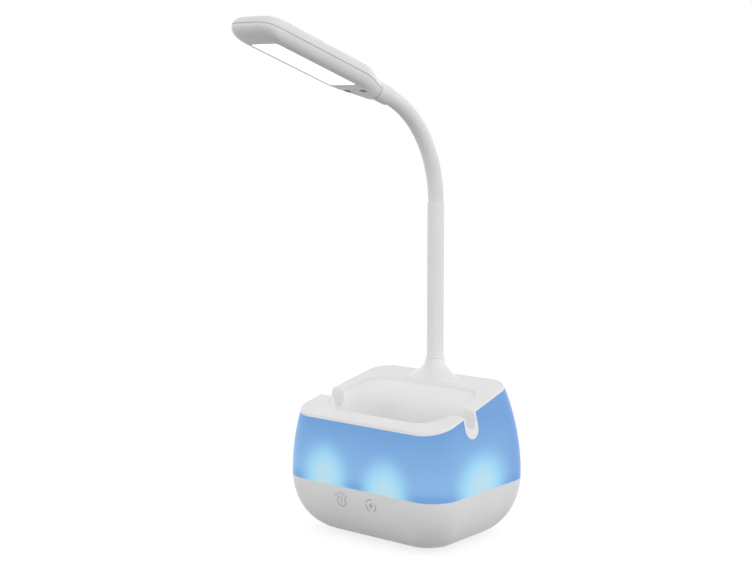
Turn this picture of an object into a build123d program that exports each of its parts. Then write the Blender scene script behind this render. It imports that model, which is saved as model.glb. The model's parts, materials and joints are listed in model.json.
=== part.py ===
from build123d import *
import os
from math import cos, pi, radians, sin, sqrt, tan

# Desk lamp on an organizer base.  Millimetres, +Z up, the lamp's front is -Y.
# Origin: centre of the base's non-slip pad, on the table.

# ---------------------------------------------------------------- driving dimensions
# Base shell
BASE_WIDTH = 120.0
BASE_DEPTH = 94.5
BASE_CORNER_R = 18.0
CORNER_SHRINK_UP = 0.5
CORNER_SHRINK_DOWN = 0.2
CORNER_MIN_R = 3.0
BASE_WIDEST_Z = 36.5
BASE_PART_Z = 33.9
SIDE_ARC_R = 159.0
TUB_BOTTOM_Z = 0.6
TUB_TUCK = 23.0
TUB_CURVE = 2.1
SHELL_WALL = 2.2
BAND_WALL = 2.0
RIM_TONGUE = 1.0
RIM_TONGUE_H = 1.5

# Sloped deck with its cup
DECK_MID_Z = 82.9
DECK_SLOPE_DEG = 13.03
DECK_THICK = 1.6
DECK_EDGE_R = 1.1
SKIRT_DEPTH = 4.0
SKIRT_WALL = 1.2
CUP_WIDTH = 89.0
CUP_FRONT_Y = -32.0
CUP_REAR_Y = 20.5
CUP_CORNER_R = 16.0
CUP_FLOOR_Z = 29.0
CUP_WALL = 2.0
CUP_DRAFT_DEG = 1.5
CUP_EDGE_R = 0.8

# Phone slots through the two side walls
SLOT_Y = -10.4
SLOT_WIDTH = 9.4
SLOT_FLOOR_Z = 71.2
SLOT_SHOULDER_R = 1.5
TAB_WALL = 1.6
TAB_BOTTOM_Z = 65.8

# Flare that carries the post
POST_Y = 28.6
FLARE_TOP_Z = 102.0
FLARE_TOP_R = 5.9
FLARE_FOOT_HALF_WIDTH = 25.0
FLARE_FOOT_HALF_DEPTH = 6.8
FLARE_CURVE = 2.0
FLARE_BURY = 2.0
NUT_SEAT_Z = 83.0
NUT_SEAT_R = 6.2

# Inside the base
PAD_LENGTH = 64.0
PAD_WIDTH = 38.0
PAD_THICK = 1.4
PAD_RECESS = 0.8
PAD_CORNER_R = 6.0
BALLAST_LENGTH = 44.0
BALLAST_WIDTH = 34.0
BALLAST_THICK = 3.0
CELL_D = 18.2
CELL_LENGTH = 64.0
CELL_GAP = 0.4
SADDLE_X = 24.0
SADDLE_THICK = 2.0
SCREW_X = 27.0
SCREW_Y = 14.5
SCREW_D = 3.0
SCREW_HEAD_D = 5.6
SCREW_HEAD_H = 2.0
SCREW_LENGTH = 14.0
BOSS_WALL = 1.6
BOSS_JOINT_Z = 19.0
SCREW_SEAT_Z = 12.0
BOARD_THICK = 1.6
MAIN_BOARD_WIDTH = 44.0
MAIN_BOARD_DEPTH = 15.0
MAIN_BOARD_Z = 12.0
SOCKET_WIDTH = 9.0
SOCKET_HEIGHT = 3.2
SOCKET_DEPTH = 7.4
SOCKET_SHELL = 0.3
TOUCH_BOARD_WIDTH = 42.0
TOUCH_BOARD_HEIGHT = 14.0
TOUCH_KEY_Z = 25.5
TOUCH_KEY_X = 11.5
TOUCH_SPRING_D = 7.0
TOUCH_SPRING_LENGTH = 5.0
RING_BOARD_GAP = 0.6
LED_LENGTH = 5.0
LED_WIDTH = 3.0
LED_HEIGHT = 2.4
LED_FRONT_X = 22.0
LED_SIDE_Y = -3.6

# Post and flexible neck
POST_D = 10.4
POST_TOP_Z = 197.1
POST_BORE_D = 7.4
SPIGOT_D = 6.0
SPIGOT_BORE_D = 3.6
NUT_ACROSS = 10.0
NUT_HEIGHT = 3.6
WASHER_D = 12.0
WASHER_THICK = 1.0
SLEEVE_D = 9.5
SLEEVE_WALL = 1.0
CORE_D = 7.0
CORE_BORE_D = 4.0
NECK_RADIUS = 67.3
HEAD_TILT_DEG = 17.44
NECK_JOINTS = 12
DOME_R = 4.0
DOME_GAP = 0.3
ROOT_DEPTH = 16.0
CABLE_D = 2.4
BOOT_D = 11.2
BOOT_LENGTH = 12.0
BOOT_LIP = 1.0

# Head; n is the height above its underside, a runs from the diffuser's rear edge to the tip
HEAD_HALF_WIDTH = 15.4
HEAD_TIP = 81.8
HEAD_REAR = 27.0
HEAD_THICK = 12.4
HEAD_SEAM_N = 6.4
HEAD_AXIS_N = 6.3
HEAD_FLAT_HALF = 9.9
HEAD_FLAT_TIP = 68.2
HEAD_TOP_HALF = 11.0
HEAD_TOP_TIP = 71.0
HEAD_CORNER_R = 8.5
HEAD_END_HALF = 6.3
HEAD_END_BULGE = 0.12
HEAD_UNDER_CURVE = 2.3
HEAD_TOP_CURVE = 2.2
HEAD_WALL = 1.5
SEAM_GAP = 0.36
SEAM_LIP = 0.6
HEAD_TAPER_START = 3.0
DIFFUSER_WIDTH = 18.4
DIFFUSER_LENGTH = 66.5
DIFFUSER_THICK = 1.0
DIFFUSER_FLANGE = 1.2
DIFFUSER_RECESS = 0.1
DIFFUSER_CORNER_R = 1.5
HEAD_BOARD_N = 5.2
HEAD_BOARD_WIDTH = 15.0
HEAD_BOARD_THICK = 1.0
HEAD_LED_ROWS = 2
HEAD_LED_COLUMNS = 9
HEAD_LED_SIZE = 2.8
HEAD_LED_H = 0.7
HEAD_SCREW_X = 5.75
HEAD_SCREW_A = -11.2
HEAD_SCREW_D = 2.0
HEAD_SCREW_HEAD_D = 3.7
HEAD_SCREW_HEAD_H = 1.2
HEAD_SCREW_LENGTH = 7.5
HEAD_SCREW_SEAT_N = 1.8
HEAD_BOSS_D = 4.8

# Clearances
FIT_GAP = 0.15
SEAT_GAP = 0.05
BIG = 400.0

# ---------------------------------------------------------------- derived sizes
SLOPE = tan(radians(DECK_SLOPE_DEG))
NECK_TURN_DEG = 90.0 - HEAD_TILT_DEG
NECK_STEP_DEG = NECK_TURN_DEG / NECK_JOINTS
ARC_CENTRE_Y = POST_Y - NECK_RADIUS
CUP_MID_Y = (CUP_FRONT_Y + CUP_REAR_Y) / 2
CUP_DEPTH_Y = CUP_REAR_Y - CUP_FRONT_Y
TUB_FLOOR_Z = TUB_BOTTOM_Z + SHELL_WALL
RING_BOARD_Z = BASE_PART_Z + RIM_TONGUE_H
CELL_Z = TUB_FLOOR_Z + BALLAST_THICK + CELL_GAP + CELL_D / 2
TAB_HALF = SLOT_WIDTH / 2 + TAB_WALL
LOFT_TOP_Z = DECK_MID_Z + SLOPE * BASE_DEPTH / 2 + 6.0


def deck_z(y):
    return DECK_MID_Z + SLOPE * y


def side_inset(z):
    # how far the wall stands in from the widest outline at the height z
    if z >= BASE_WIDEST_Z:
        return (z - BASE_WIDEST_Z) ** 2 / (2 * SIDE_ARC_R)
    drop = (BASE_WIDEST_Z - z) / (BASE_WIDEST_Z - TUB_BOTTOM_Z)
    return TUB_TUCK * (1 - (1 - min(drop, 1.0) ** TUB_CURVE) ** (1 / TUB_CURVE))


def base_section(z, inset):
    o = side_inset(z)
    width = BASE_WIDTH - 2 * o - 2 * inset
    depth = BASE_DEPTH - 2 * o - 2 * inset
    shrink = CORNER_SHRINK_UP if z > BASE_WIDEST_Z else CORNER_SHRINK_DOWN
    radius = max(BASE_CORNER_R - shrink * o - inset, CORNER_MIN_R)
    return Plane.XY.offset(z) * RectangleRounded(width, depth, radius)


def tub_body(inset, bottom_z):
    # the curved lower bowl, its sections crowded where it turns under
    count = 7
    reach = BASE_WIDEST_Z - bottom_z
    levels = [bottom_z + reach * (1 - cos(pi / 2 * i / (count - 1))) for i in range(count)]
    bowl = loft([base_section(z, inset) for z in levels])
    return bowl & slab(bottom_z, BASE_PART_Z)


def upper_body(inset, bottom_z=None):
    # the upper walls, which lean in along an arc, far past the deck's height
    low = BASE_PART_Z if bottom_z is None else bottom_z
    if low < BASE_WIDEST_Z:
        levels = [BASE_WIDEST_Z]
    else:
        levels = [low]
    steps = 4
    levels += [levels[0] + (LOFT_TOP_Z - levels[0]) * i / steps for i in range(1, steps + 1)]
    body = loft([base_section(z, inset) for z in levels])
    if low < BASE_WIDEST_Z:
        body += extrude(base_section(BASE_WIDEST_Z, inset), -(BASE_WIDEST_Z - low))
    return body


def slab(low, high):
    return Pos(0, 0, (low + high) / 2) * Box(BIG, BIG, high - low)


def under_deck(drop):
    # everything below a plane that lies under the deck's top face by the given drop
    plane = Plane(origin=(0, 0, DECK_MID_Z - drop / cos(radians(DECK_SLOPE_DEG))))
    plane = plane.rotated((DECK_SLOPE_DEG, 0, 0))
    return plane * (Pos(0, 0, -BIG / 2) * Box(BIG, BIG, BIG))


def cylinder_z(x, y, low, high, diameter):
    return Pos(x, y, (low + high) / 2) * Cylinder(diameter / 2, high - low)


def corners(x, y):
    return [(x, y), (-x, y), (-x, -y), (x, -y)]


# ---------------------------------------------------------------- base
def lower_housing():
    shell = tub_body(0, TUB_BOTTOM_Z)
    shell -= tub_body(SHELL_WALL, TUB_FLOOR_Z)
    lip = upper_body(BAND_WALL + FIT_GAP) - upper_body(BAND_WALL + FIT_GAP + RIM_TONGUE)
    shell += lip & slab(BASE_PART_Z - SHELL_WALL, BASE_PART_Z + RIM_TONGUE_H)
    pad_pocket = RectangleRounded(PAD_LENGTH + 2 * FIT_GAP, PAD_WIDTH + 2 * FIT_GAP, PAD_CORNER_R)
    for x, y in corners(SCREW_X, SCREW_Y):
        shell += cylinder_z(x, y, TUB_FLOOR_Z - 1, BOSS_JOINT_Z, SCREW_HEAD_D + 2 * BOSS_WALL)
    for side in (-1, 1):
        shell += cell_saddle(side * SADDLE_X)
    for x, y in board_posts():
        post = cylinder_z(x, y, TUB_FLOOR_Z, MAIN_BOARD_Z, 2 * BOSS_WALL + SCREW_D)
        shell += post & tub_body(SHELL_WALL / 2, TUB_BOTTOM_Z)
    for side in (-1, 1):
        shell += touch_board_slot(side)
    for x, y in corners(SCREW_X, SCREW_Y):
        shell -= cylinder_z(x, y, 0, SCREW_SEAT_Z, SCREW_HEAD_D + 2 * FIT_GAP)
        shell -= cylinder_z(x, y, 0, BOSS_JOINT_Z + 1, SCREW_D + 2 * FIT_GAP)
    shell -= Plane.XY.offset(TUB_BOTTOM_Z - 1) * extrude(pad_pocket, PAD_RECESS + 1)
    shell -= socket_opening()
    return shell


def cell_saddle(x):
    # a rib across the tub whose top is a cradle for the cell
    height = CELL_Z - TUB_FLOOR_Z
    rib = Pos(x, 0, TUB_FLOOR_Z - 0.5 + height / 2) * Box(SADDLE_THICK, CELL_D * 0.9, height)
    cradle = Pos(x, 0, CELL_Z) * Rot(0, 90, 0) * Cylinder(CELL_D / 2 + SEAT_GAP, SADDLE_THICK + 2)
    return rib - cradle


def main_board_y():
    return BASE_DEPTH / 2 - side_inset(MAIN_BOARD_Z) - SHELL_WALL - FIT_GAP - MAIN_BOARD_DEPTH / 2


def board_posts():
    x = MAIN_BOARD_WIDTH / 2 - SCREW_D
    return [(x, main_board_y() - 1.0), (-x, main_board_y() - 1.0)]


def socket_y():
    # the socket's mouth lies just inside the outer face of the rear wall
    return BASE_DEPTH / 2 - side_inset(MAIN_BOARD_Z + BOARD_THICK) - 1.0 - SOCKET_DEPTH / 2


def socket_z():
    return MAIN_BOARD_Z + BOARD_THICK + SOCKET_HEIGHT / 2


def socket_plane(lift):
    # the upright plane at the socket's inner end, facing out through the rear wall
    origin = (0, socket_y() - SOCKET_DEPTH / 2, socket_z() + lift)
    return Plane(origin=origin, x_dir=(1, 0, 0), z_dir=(0, 1, 0))


def socket_outline(grow):
    width = SOCKET_WIDTH + 2 * grow
    height = SOCKET_HEIGHT + 2 * grow
    return RectangleRounded(width, height, height * 0.45)


def socket_opening():
    return extrude(socket_plane(0) * socket_outline(FIT_GAP), SOCKET_DEPTH * 2)


def touch_board_y():
    front = BASE_DEPTH / 2 - side_inset(TOUCH_KEY_Z - TOUCH_SPRING_D / 2) - SHELL_WALL
    return -(front - FIT_GAP - TOUCH_SPRING_LENGTH - BOARD_THICK / 2)


def touch_board_slot(side):
    # an upright post with a groove that takes one end of the touch board
    wide = 3.4
    deep = BOARD_THICK + 2.6
    high = TOUCH_BOARD_HEIGHT * 0.8
    low = TOUCH_KEY_Z - TOUCH_BOARD_HEIGHT / 2
    x = side * (TOUCH_BOARD_WIDTH / 2 + FIT_GAP)
    front_y = -(BASE_DEPTH / 2 - side_inset(low) - SHELL_WALL / 2)
    rear_y = touch_board_y() + deep / 2
    post = Pos(x, (front_y + rear_y) / 2, low + high / 2) * Box(wide, rear_y - front_y, high)
    foot = Pos(x, touch_board_y(), (low + TUB_BOTTOM_Z) / 2) * Box(wide, deep, low - TUB_BOTTOM_Z)
    groove_x = x - side * wide / 2
    groove = Pos(groove_x, touch_board_y(), low + high / 2) * Box(
        wide, BOARD_THICK + 2 * SEAT_GAP, high + 0.01)
    return (post + foot - groove) & tub_body(0.8, TUB_BOTTOM_Z)


def glow_band():
    ring = upper_body(0) - upper_body(BAND_WALL, BASE_PART_Z)
    ring = ring & under_deck(DECK_THICK + SEAT_GAP)
    low = BASE_PART_Z + SEAT_GAP
    ring -= slab(-BIG / 4, low)
    for side in (-1, 1):
        ring -= tab_block(side, FIT_GAP, CUP_WIDTH / 2)
    return ring


def tab_outline(grow, top_z):
    # the U-shaped tongue seen from the side, in the plane of Y and Z
    half = TAB_HALF + grow
    centre_z = TAB_BOTTOM_Z - grow + half
    round_end = Pos(SLOT_Y, centre_z) * Circle(half)
    straight = Pos(SLOT_Y, (centre_z + top_z) / 2) * Rectangle(2 * half, top_z - centre_z)
    return round_end + straight


def side_extrude(outline, side, inner_x):
    # pushes an outline drawn in Y and Z outwards from inner_x through the side wall
    plane = Plane(origin=(side * inner_x, 0, 0), x_dir=(0, 1, 0), z_dir=(1, 0, 0))
    return extrude(plane * outline, side * (BASE_WIDTH / 2 + 5 - inner_x))


def tab_block(side, grow, inner_x):
    return side_extrude(tab_outline(grow, LOFT_TOP_Z), side, inner_x)


def on_circle(centre, radius, angle_deg):
    return (centre[0] + radius * cos(radians(angle_deg)), centre[1] + radius * sin(radians(angle_deg)))


def shoulder_centre(direction):
    # centre of the round shoulder where a side of the slot meets the sloped deck
    y = SLOT_Y + direction * (SLOT_WIDTH / 2 + SLOT_SHOULDER_R)
    return (y, deck_z(y) - SLOT_SHOULDER_R / cos(radians(DECK_SLOPE_DEG)))


def slot_cut(side):
    # the slot and the open air above it, with round shoulders at the deck
    half = SLOT_WIDTH / 2
    centre_z = SLOT_FLOOR_Z + half
    reach = half + SLOT_SHOULDER_R + 6.0
    r = SLOT_SHOULDER_R
    deck_turn = 90 + DECK_SLOPE_DEG
    front = shoulder_centre(-1)
    rear = shoulder_centre(1)
    front_arc = ThreePointArc(on_circle(front, r, deck_turn), on_circle(front, r, deck_turn / 2),
                              on_circle(front, r, 0))
    rear_arc = ThreePointArc(on_circle(rear, r, 180), on_circle(rear, r, 90 + deck_turn / 2),
                             on_circle(rear, r, deck_turn))
    bottom_arc = ThreePointArc((SLOT_Y - half, centre_z), (SLOT_Y, SLOT_FLOOR_Z), (SLOT_Y + half, centre_z))
    edges = [
        Line((SLOT_Y - reach, deck_z(SLOT_Y - reach)), front_arc @ 0),
        front_arc,
        Line(front_arc @ 1, (SLOT_Y - half, centre_z)),
        bottom_arc,
        Line((SLOT_Y + half, centre_z), rear_arc @ 0),
        rear_arc,
        Line(rear_arc @ 1, (SLOT_Y + reach, deck_z(SLOT_Y + reach))),
        Line((SLOT_Y + reach, deck_z(SLOT_Y + reach)), (SLOT_Y + reach, LOFT_TOP_Z)),
        Line((SLOT_Y + reach, LOFT_TOP_Z), (SLOT_Y - reach, LOFT_TOP_Z)),
        Line((SLOT_Y - reach, LOFT_TOP_Z), (SLOT_Y - reach, deck_z(SLOT_Y - reach))),
    ]
    outline = Face(Wire(edges))
    return side_extrude(outline, side, CUP_WIDTH / 2 - CUP_WALL - 6.0)


def cup_solid(grow, floor_z):
    # the tapered cup, wider by grow, from the floor up past the deck
    top_z = LOFT_TOP_Z
    narrow = (deck_z(CUP_MID_Y) - floor_z) * tan(radians(CUP_DRAFT_DEG))
    widen = (top_z - deck_z(CUP_MID_Y)) * tan(radians(CUP_DRAFT_DEG))

    def level(z, change):
        width = CUP_WIDTH + 2 * grow + 2 * change
        depth = CUP_DEPTH_Y + 2 * grow + 2 * change
        radius = CUP_CORNER_R + grow + change
        return Pos(0, CUP_MID_Y, z) * RectangleRounded(width, depth, radius)

    return loft([level(floor_z, -narrow), level(top_z, widen)])


def flare():
    # the post's foot: round at the top, spreading sideways between the cup and the rear edge
    foot_z = deck_z(POST_Y) - FLARE_BURY
    steps = 7
    sections = []
    for i in range(steps + 1):
        share = 1 - i / steps
        half_width = FLARE_TOP_R + (FLARE_FOOT_HALF_WIDTH - FLARE_TOP_R) * share ** FLARE_CURVE
        half_depth = FLARE_TOP_R + (FLARE_FOOT_HALF_DEPTH - FLARE_TOP_R) * share
        z = FLARE_TOP_Z - (FLARE_TOP_Z - foot_z) * share
        sections.append(Pos(0, POST_Y, z) * Ellipse(half_width, half_depth))
    return loft(sections)


def cup_rim(deck):
    # the edges where the cup's wall meets the deck's top face
    def on_rim(edge):
        point = edge.center()
        on_face = abs(point.Z - deck_z(point.Y)) < 0.05
        beside_cup = abs(point.X) < CUP_WIDTH / 2 + 1.0
        return on_face and beside_cup and CUP_FRONT_Y - 1.0 < point.Y < CUP_REAR_Y + 0.6

    return deck.edges().filter_by(on_rim)


def top_deck():
    outer = upper_body(0)
    plate = (outer & under_deck(0)) - under_deck(DECK_THICK)
    rim = plate.edges().filter_by(lambda e: abs(e.center().Z - deck_z(e.center().Y)) < 0.05)
    plate = fillet(rim, DECK_EDGE_R)
    skirt_outer = upper_body(BAND_WALL + FIT_GAP)
    skirt = skirt_outer - upper_body(BAND_WALL + FIT_GAP + SKIRT_WALL)
    skirt = (skirt & under_deck(DECK_THICK * 0.5)) - under_deck(DECK_THICK + SKIRT_DEPTH)
    deck = plate + skirt
    for side in (-1, 1):
        deck += (tab_block(side, 0, CUP_WIDTH / 2) & outer) & under_deck(DECK_THICK * 0.5)
    deck += cup_solid(CUP_WALL, CUP_FLOOR_Z - CUP_WALL) & under_deck(DECK_THICK * 0.5)
    deck += flare() - under_deck(DECK_THICK * 0.5)
    deck += cylinder_z(0, POST_Y, NUT_SEAT_Z, deck_z(POST_Y), 2 * NUT_SEAT_R)
    boss_foot = BOSS_JOINT_Z + SEAT_GAP
    boss_head = CUP_FLOOR_Z - CUP_WALL / 2
    for x, y in corners(SCREW_X, SCREW_Y):
        deck += cylinder_z(x, y, boss_foot, boss_head, SCREW_D + 2 * BOSS_WALL)
    deck -= cup_solid(0, CUP_FLOOR_Z)
    deck = fillet(cup_rim(deck), CUP_EDGE_R)
    for x, y in corners(SCREW_X, SCREW_Y):
        deck -= cylinder_z(x, y, BOSS_JOINT_Z - 1, CUP_FLOOR_Z - CUP_WALL, SCREW_D)
    deck -= cylinder_z(0, POST_Y, NUT_SEAT_Z - 1, FLARE_TOP_Z + 1, SPIGOT_D + 2 * FIT_GAP)
    for side in (-1, 1):
        deck -= slot_cut(side)
    return deck


def base_pad():
    plate = RectangleRounded(PAD_LENGTH, PAD_WIDTH, PAD_CORNER_R - FIT_GAP)
    return extrude(plate, PAD_THICK)


def housing_screws():
    screws = []
    for x, y in corners(SCREW_X, SCREW_Y):
        head = cylinder_z(x, y, SCREW_SEAT_Z - SCREW_HEAD_H, SCREW_SEAT_Z, SCREW_HEAD_D)
        shank = cylinder_z(x, y, SCREW_SEAT_Z - 0.5, SCREW_SEAT_Z - 0.5 + SCREW_LENGTH, SCREW_D - 0.1)
        cross = Pos(x, y, SCREW_SEAT_Z - SCREW_HEAD_H) * (Box(0.8, 3.2, 1.6) + Box(3.2, 0.8, 1.6))
        screws.append(head + shank - cross)
    return Compound(screws)


def ballast_plate():
    plate = extrude(RectangleRounded(BALLAST_LENGTH, BALLAST_WIDTH, 4.0), BALLAST_THICK)
    return Pos(0, 0, TUB_FLOOR_Z + SEAT_GAP) * plate


def battery_cell():
    can = Rot(0, 90, 0) * Cylinder(CELL_D / 2, CELL_LENGTH)
    can = fillet(can.edges(), 0.6)
    button = Pos(CELL_LENGTH / 2 + 0.5, 0, 0) * Rot(0, 90, 0) * Cylinder(2.8, 1.2)
    return Pos(0, 0, CELL_Z) * (can + button)


def main_board():
    y = main_board_y()
    board = Pos(0, y, MAIN_BOARD_Z + BOARD_THICK / 2) * Box(MAIN_BOARD_WIDTH, MAIN_BOARD_DEPTH, BOARD_THICK)
    for x, post_y in board_posts():
        board -= cylinder_z(x, post_y, 0, BIG / 4, SCREW_D - 0.4)
    top = MAIN_BOARD_Z + BOARD_THICK
    for x, size in ((-12.0, 5.0), (9.5, 4.0)):
        board += Pos(x, y - 3.2, top + 0.7) * Box(size, size, 1.4)
    board += Pos(-2.0, y - 3.4, top + 1.8) * Box(6.0, 6.0, 3.6)
    return board


def board_screws():
    screws = []
    for x, y in board_posts():
        head = cylinder_z(x, y, MAIN_BOARD_Z + BOARD_THICK, MAIN_BOARD_Z + BOARD_THICK + 1.4, 4.2)
        shank = cylinder_z(x, y, MAIN_BOARD_Z + 0.02, MAIN_BOARD_Z + BOARD_THICK + 0.2, SCREW_D - 0.6)
        screws.append(head + shank)
    return Compound(screws)


def charging_socket():
    plane = socket_plane(SEAT_GAP)
    shell = extrude(plane * socket_outline(0), SOCKET_DEPTH)
    shell -= extrude(plane.offset(1.2) * socket_outline(-SOCKET_SHELL), SOCKET_DEPTH)
    tongue = extrude(plane * Rectangle(SOCKET_WIDTH - 2.4, 0.7), SOCKET_DEPTH - 1.0)
    return shell + tongue


def touch_board():
    y = touch_board_y()
    return Pos(0, y, TOUCH_KEY_Z) * Box(TOUCH_BOARD_WIDTH, BOARD_THICK, TOUCH_BOARD_HEIGHT)


def touch_springs():
    springs = []
    y = touch_board_y() - BOARD_THICK / 2 - TOUCH_SPRING_LENGTH / 2
    for x in (-TOUCH_KEY_X, TOUCH_KEY_X):
        body = Rot(90, 0, 0) * Cylinder(TOUCH_SPRING_D / 2, TOUCH_SPRING_LENGTH)
        hollow = Rot(90, 0, 0) * Cylinder(TOUCH_SPRING_D / 2 - 0.8, TOUCH_SPRING_LENGTH + 1)
        springs.append(Pos(x, y, TOUCH_KEY_Z) * (body - hollow))
    return Compound(springs)


def ring_board_outline():
    o = side_inset(RING_BOARD_Z)
    inset = BAND_WALL + RING_BOARD_GAP + o
    plate = RectangleRounded(BASE_WIDTH - 2 * inset, BASE_DEPTH - 2 * inset, BASE_CORNER_R - inset)
    grow = CUP_WALL + RING_BOARD_GAP
    hole = RectangleRounded(CUP_WIDTH + 2 * grow, CUP_DEPTH_Y + 2 * grow, CUP_CORNER_R + grow)
    return plate - Pos(0, CUP_MID_Y) * hole - Pos(0, POST_Y) * Circle(SPIGOT_D / 2)


def glow_led_board():
    return Plane.XY.offset(RING_BOARD_Z + SEAT_GAP) * extrude(ring_board_outline(), BOARD_THICK)


def glow_leds():
    z = RING_BOARD_Z + SEAT_GAP + BOARD_THICK + LED_HEIGHT / 2
    front_y = -(BASE_DEPTH / 2 - BAND_WALL - RING_BOARD_GAP - LED_WIDTH)
    side_x = BASE_WIDTH / 2 - BAND_WALL - RING_BOARD_GAP - LED_WIDTH
    chips = []
    for x in (-LED_FRONT_X, LED_FRONT_X):
        for y in (front_y, -front_y):
            chips.append(Pos(x, y, z) * Box(LED_LENGTH, LED_WIDTH, LED_HEIGHT))
    for x in (-side_x, side_x):
        chips.append(Pos(x, LED_SIDE_Y, z) * Box(LED_WIDTH, LED_LENGTH, LED_HEIGHT))
    return Compound(chips)


# ---------------------------------------------------------------- post and neck
def lower_post():
    tube = cylinder_z(0, POST_Y, FLARE_TOP_Z + SEAT_GAP, POST_TOP_Z, POST_D)
    tube -= cylinder_z(0, POST_Y, FLARE_TOP_Z + 6.0, POST_TOP_Z + 1, POST_BORE_D)
    tube += cylinder_z(0, POST_Y, nut_bottom_z() - 1.0, FLARE_TOP_Z + 3.0, SPIGOT_D)
    tube -= cylinder_z(0, POST_Y, 0, FLARE_TOP_Z + 7.0, SPIGOT_BORE_D)
    return tube


def nut_bottom_z():
    return NUT_SEAT_Z - 2 * SEAT_GAP - WASHER_THICK - NUT_HEIGHT


def neck_washer():
    top = NUT_SEAT_Z - SEAT_GAP
    disc = cylinder_z(0, POST_Y, top - WASHER_THICK, top, WASHER_D)
    return disc - cylinder_z(0, POST_Y, 0, BIG / 4, SPIGOT_D + 2 * FIT_GAP)


def neck_nut():
    low = nut_bottom_z()
    nut = Pos(0, POST_Y, low) * extrude(RegularPolygon(NUT_ACROSS / 2, 6, major_radius=False), NUT_HEIGHT)
    return nut - cylinder_z(0, POST_Y, 0, BIG / 4, SPIGOT_D + 2 * SEAT_GAP)


def arc_point(turn_deg):
    t = radians(turn_deg)
    return (0, ARC_CENTRE_Y + NECK_RADIUS * cos(t), POST_TOP_Z + NECK_RADIUS * sin(t))


def arc_plane(turn_deg):
    # section plane of the neck, its normal along the neck towards the head
    t = radians(turn_deg)
    return Plane(origin=arc_point(turn_deg), x_dir=(1, 0, 0), z_dir=(0, -sin(t), cos(t)))


def arc_tube(start_deg, end_deg, outer_d, inner_d):
    # a piece of tube bent about the neck's centre of curvature
    axis = Axis((0, ARC_CENTRE_Y, POST_TOP_Z), (1, 0, 0))
    ring = arc_plane(start_deg) * Circle(outer_d / 2)
    if inner_d > 0:
        ring -= arc_plane(start_deg) * Circle(inner_d / 2)
    return revolve(ring, axis, end_deg - start_deg)


def dome(turn_deg, radius):
    return Pos(*arc_point(turn_deg)) * Sphere(radius)


def joint_turn(index):
    # where on the arc the joint with this number, from 1, lies
    return (index - 0.5) * NECK_STEP_DEG


def on_sphere(r, radius):
    # distance along the axis at which a ball of this radius is as wide as r
    return sqrt(radius ** 2 - r ** 2)


def convex_end(turn_deg):
    # the rounded tip beyond a joint, which turns inside the next link's seat
    outer = CORE_D / 2
    bore = CORE_BORE_D / 2
    edges = [
        Line((bore, 0), (outer, 0)),
        Line((outer, 0), (outer, on_sphere(outer, DOME_R))),
        RadiusArc((outer, on_sphere(outer, DOME_R)), (bore, on_sphere(bore, DOME_R)), -DOME_R),
        Line((bore, on_sphere(bore, DOME_R)), (bore, 0)),
    ]
    ring = revolve(Plane.XZ * Face(Wire(edges)), Axis.Z)
    return arc_plane(turn_deg) * ring


def neck_link(index):
    # one stretch of the neck's core between two of its bending points
    start = Vector(*arc_point(joint_turn(index)))
    end = Vector(*arc_point(joint_turn(index + 1)))
    length = (end - start).length
    outer = CORE_D / 2
    bore = CORE_BORE_D / 2
    seat = DOME_R + DOME_GAP
    edges = [
        RadiusArc((bore, on_sphere(bore, seat)), (outer, on_sphere(outer, seat)), seat),
        Line((outer, on_sphere(outer, seat)), (outer, length + on_sphere(outer, DOME_R))),
        RadiusArc((outer, length + on_sphere(outer, DOME_R)),
                  (bore, length + on_sphere(bore, DOME_R)), -DOME_R),
        Line((bore, length + on_sphere(bore, DOME_R)), (bore, on_sphere(bore, seat))),
    ]
    ring = revolve(Plane.XZ * Face(Wire(edges)), Axis.Z)
    return Plane(origin=start, x_dir=(1, 0, 0), z_dir=end - start) * ring


def post_ferrule():
    low = POST_TOP_Z - ROOT_DEPTH
    tube = cylinder_z(0, POST_Y, low, POST_TOP_Z, CORE_D)
    tube -= cylinder_z(0, POST_Y, low - 1, POST_TOP_Z + 1, CORE_BORE_D)
    tube += arc_tube(0, joint_turn(1), CORE_D, CORE_BORE_D)
    return tube + convex_end(joint_turn(1))


def gooseneck_sleeve():
    bore = SLEEVE_D - 2 * SLEEVE_WALL
    sleeve = arc_tube(0, NECK_TURN_DEG, SLEEVE_D, bore)
    end = arc_plane(NECK_TURN_DEG)
    sleeve += extrude(end * Circle(SLEEVE_D / 2) - end * Circle(bore / 2), BOOT_LENGTH - SEAT_GAP)
    return sleeve


def neck_cable():
    low = RING_BOARD_Z + BOARD_THICK + CABLE_D
    cable = extrude(Plane(origin=(0, POST_Y, low)) * Circle(CABLE_D / 2), POST_TOP_Z - low)
    cable += arc_tube(0, NECK_TURN_DEG, CABLE_D, 0)
    reach = BOOT_LENGTH + HEAD_REAR + HEAD_SCREW_A
    cable += extrude(arc_plane(NECK_TURN_DEG) * Circle(CABLE_D / 2), reach)
    return cable


# ---------------------------------------------------------------- head
def head_frame_of_reference():
    # x across, y from the neck to the tip, z up from the underside
    t = radians(HEAD_TILT_DEG)
    along = Vector(0, -cos(t), sin(t))
    up = Vector(0, sin(t), cos(t))
    start = Vector(*arc_point(NECK_TURN_DEG))
    origin = start + along * (BOOT_LENGTH + HEAD_REAR) - up * HEAD_AXIS_N
    return Plane(origin=origin, x_dir=(-1, 0, 0), z_dir=up)


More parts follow.
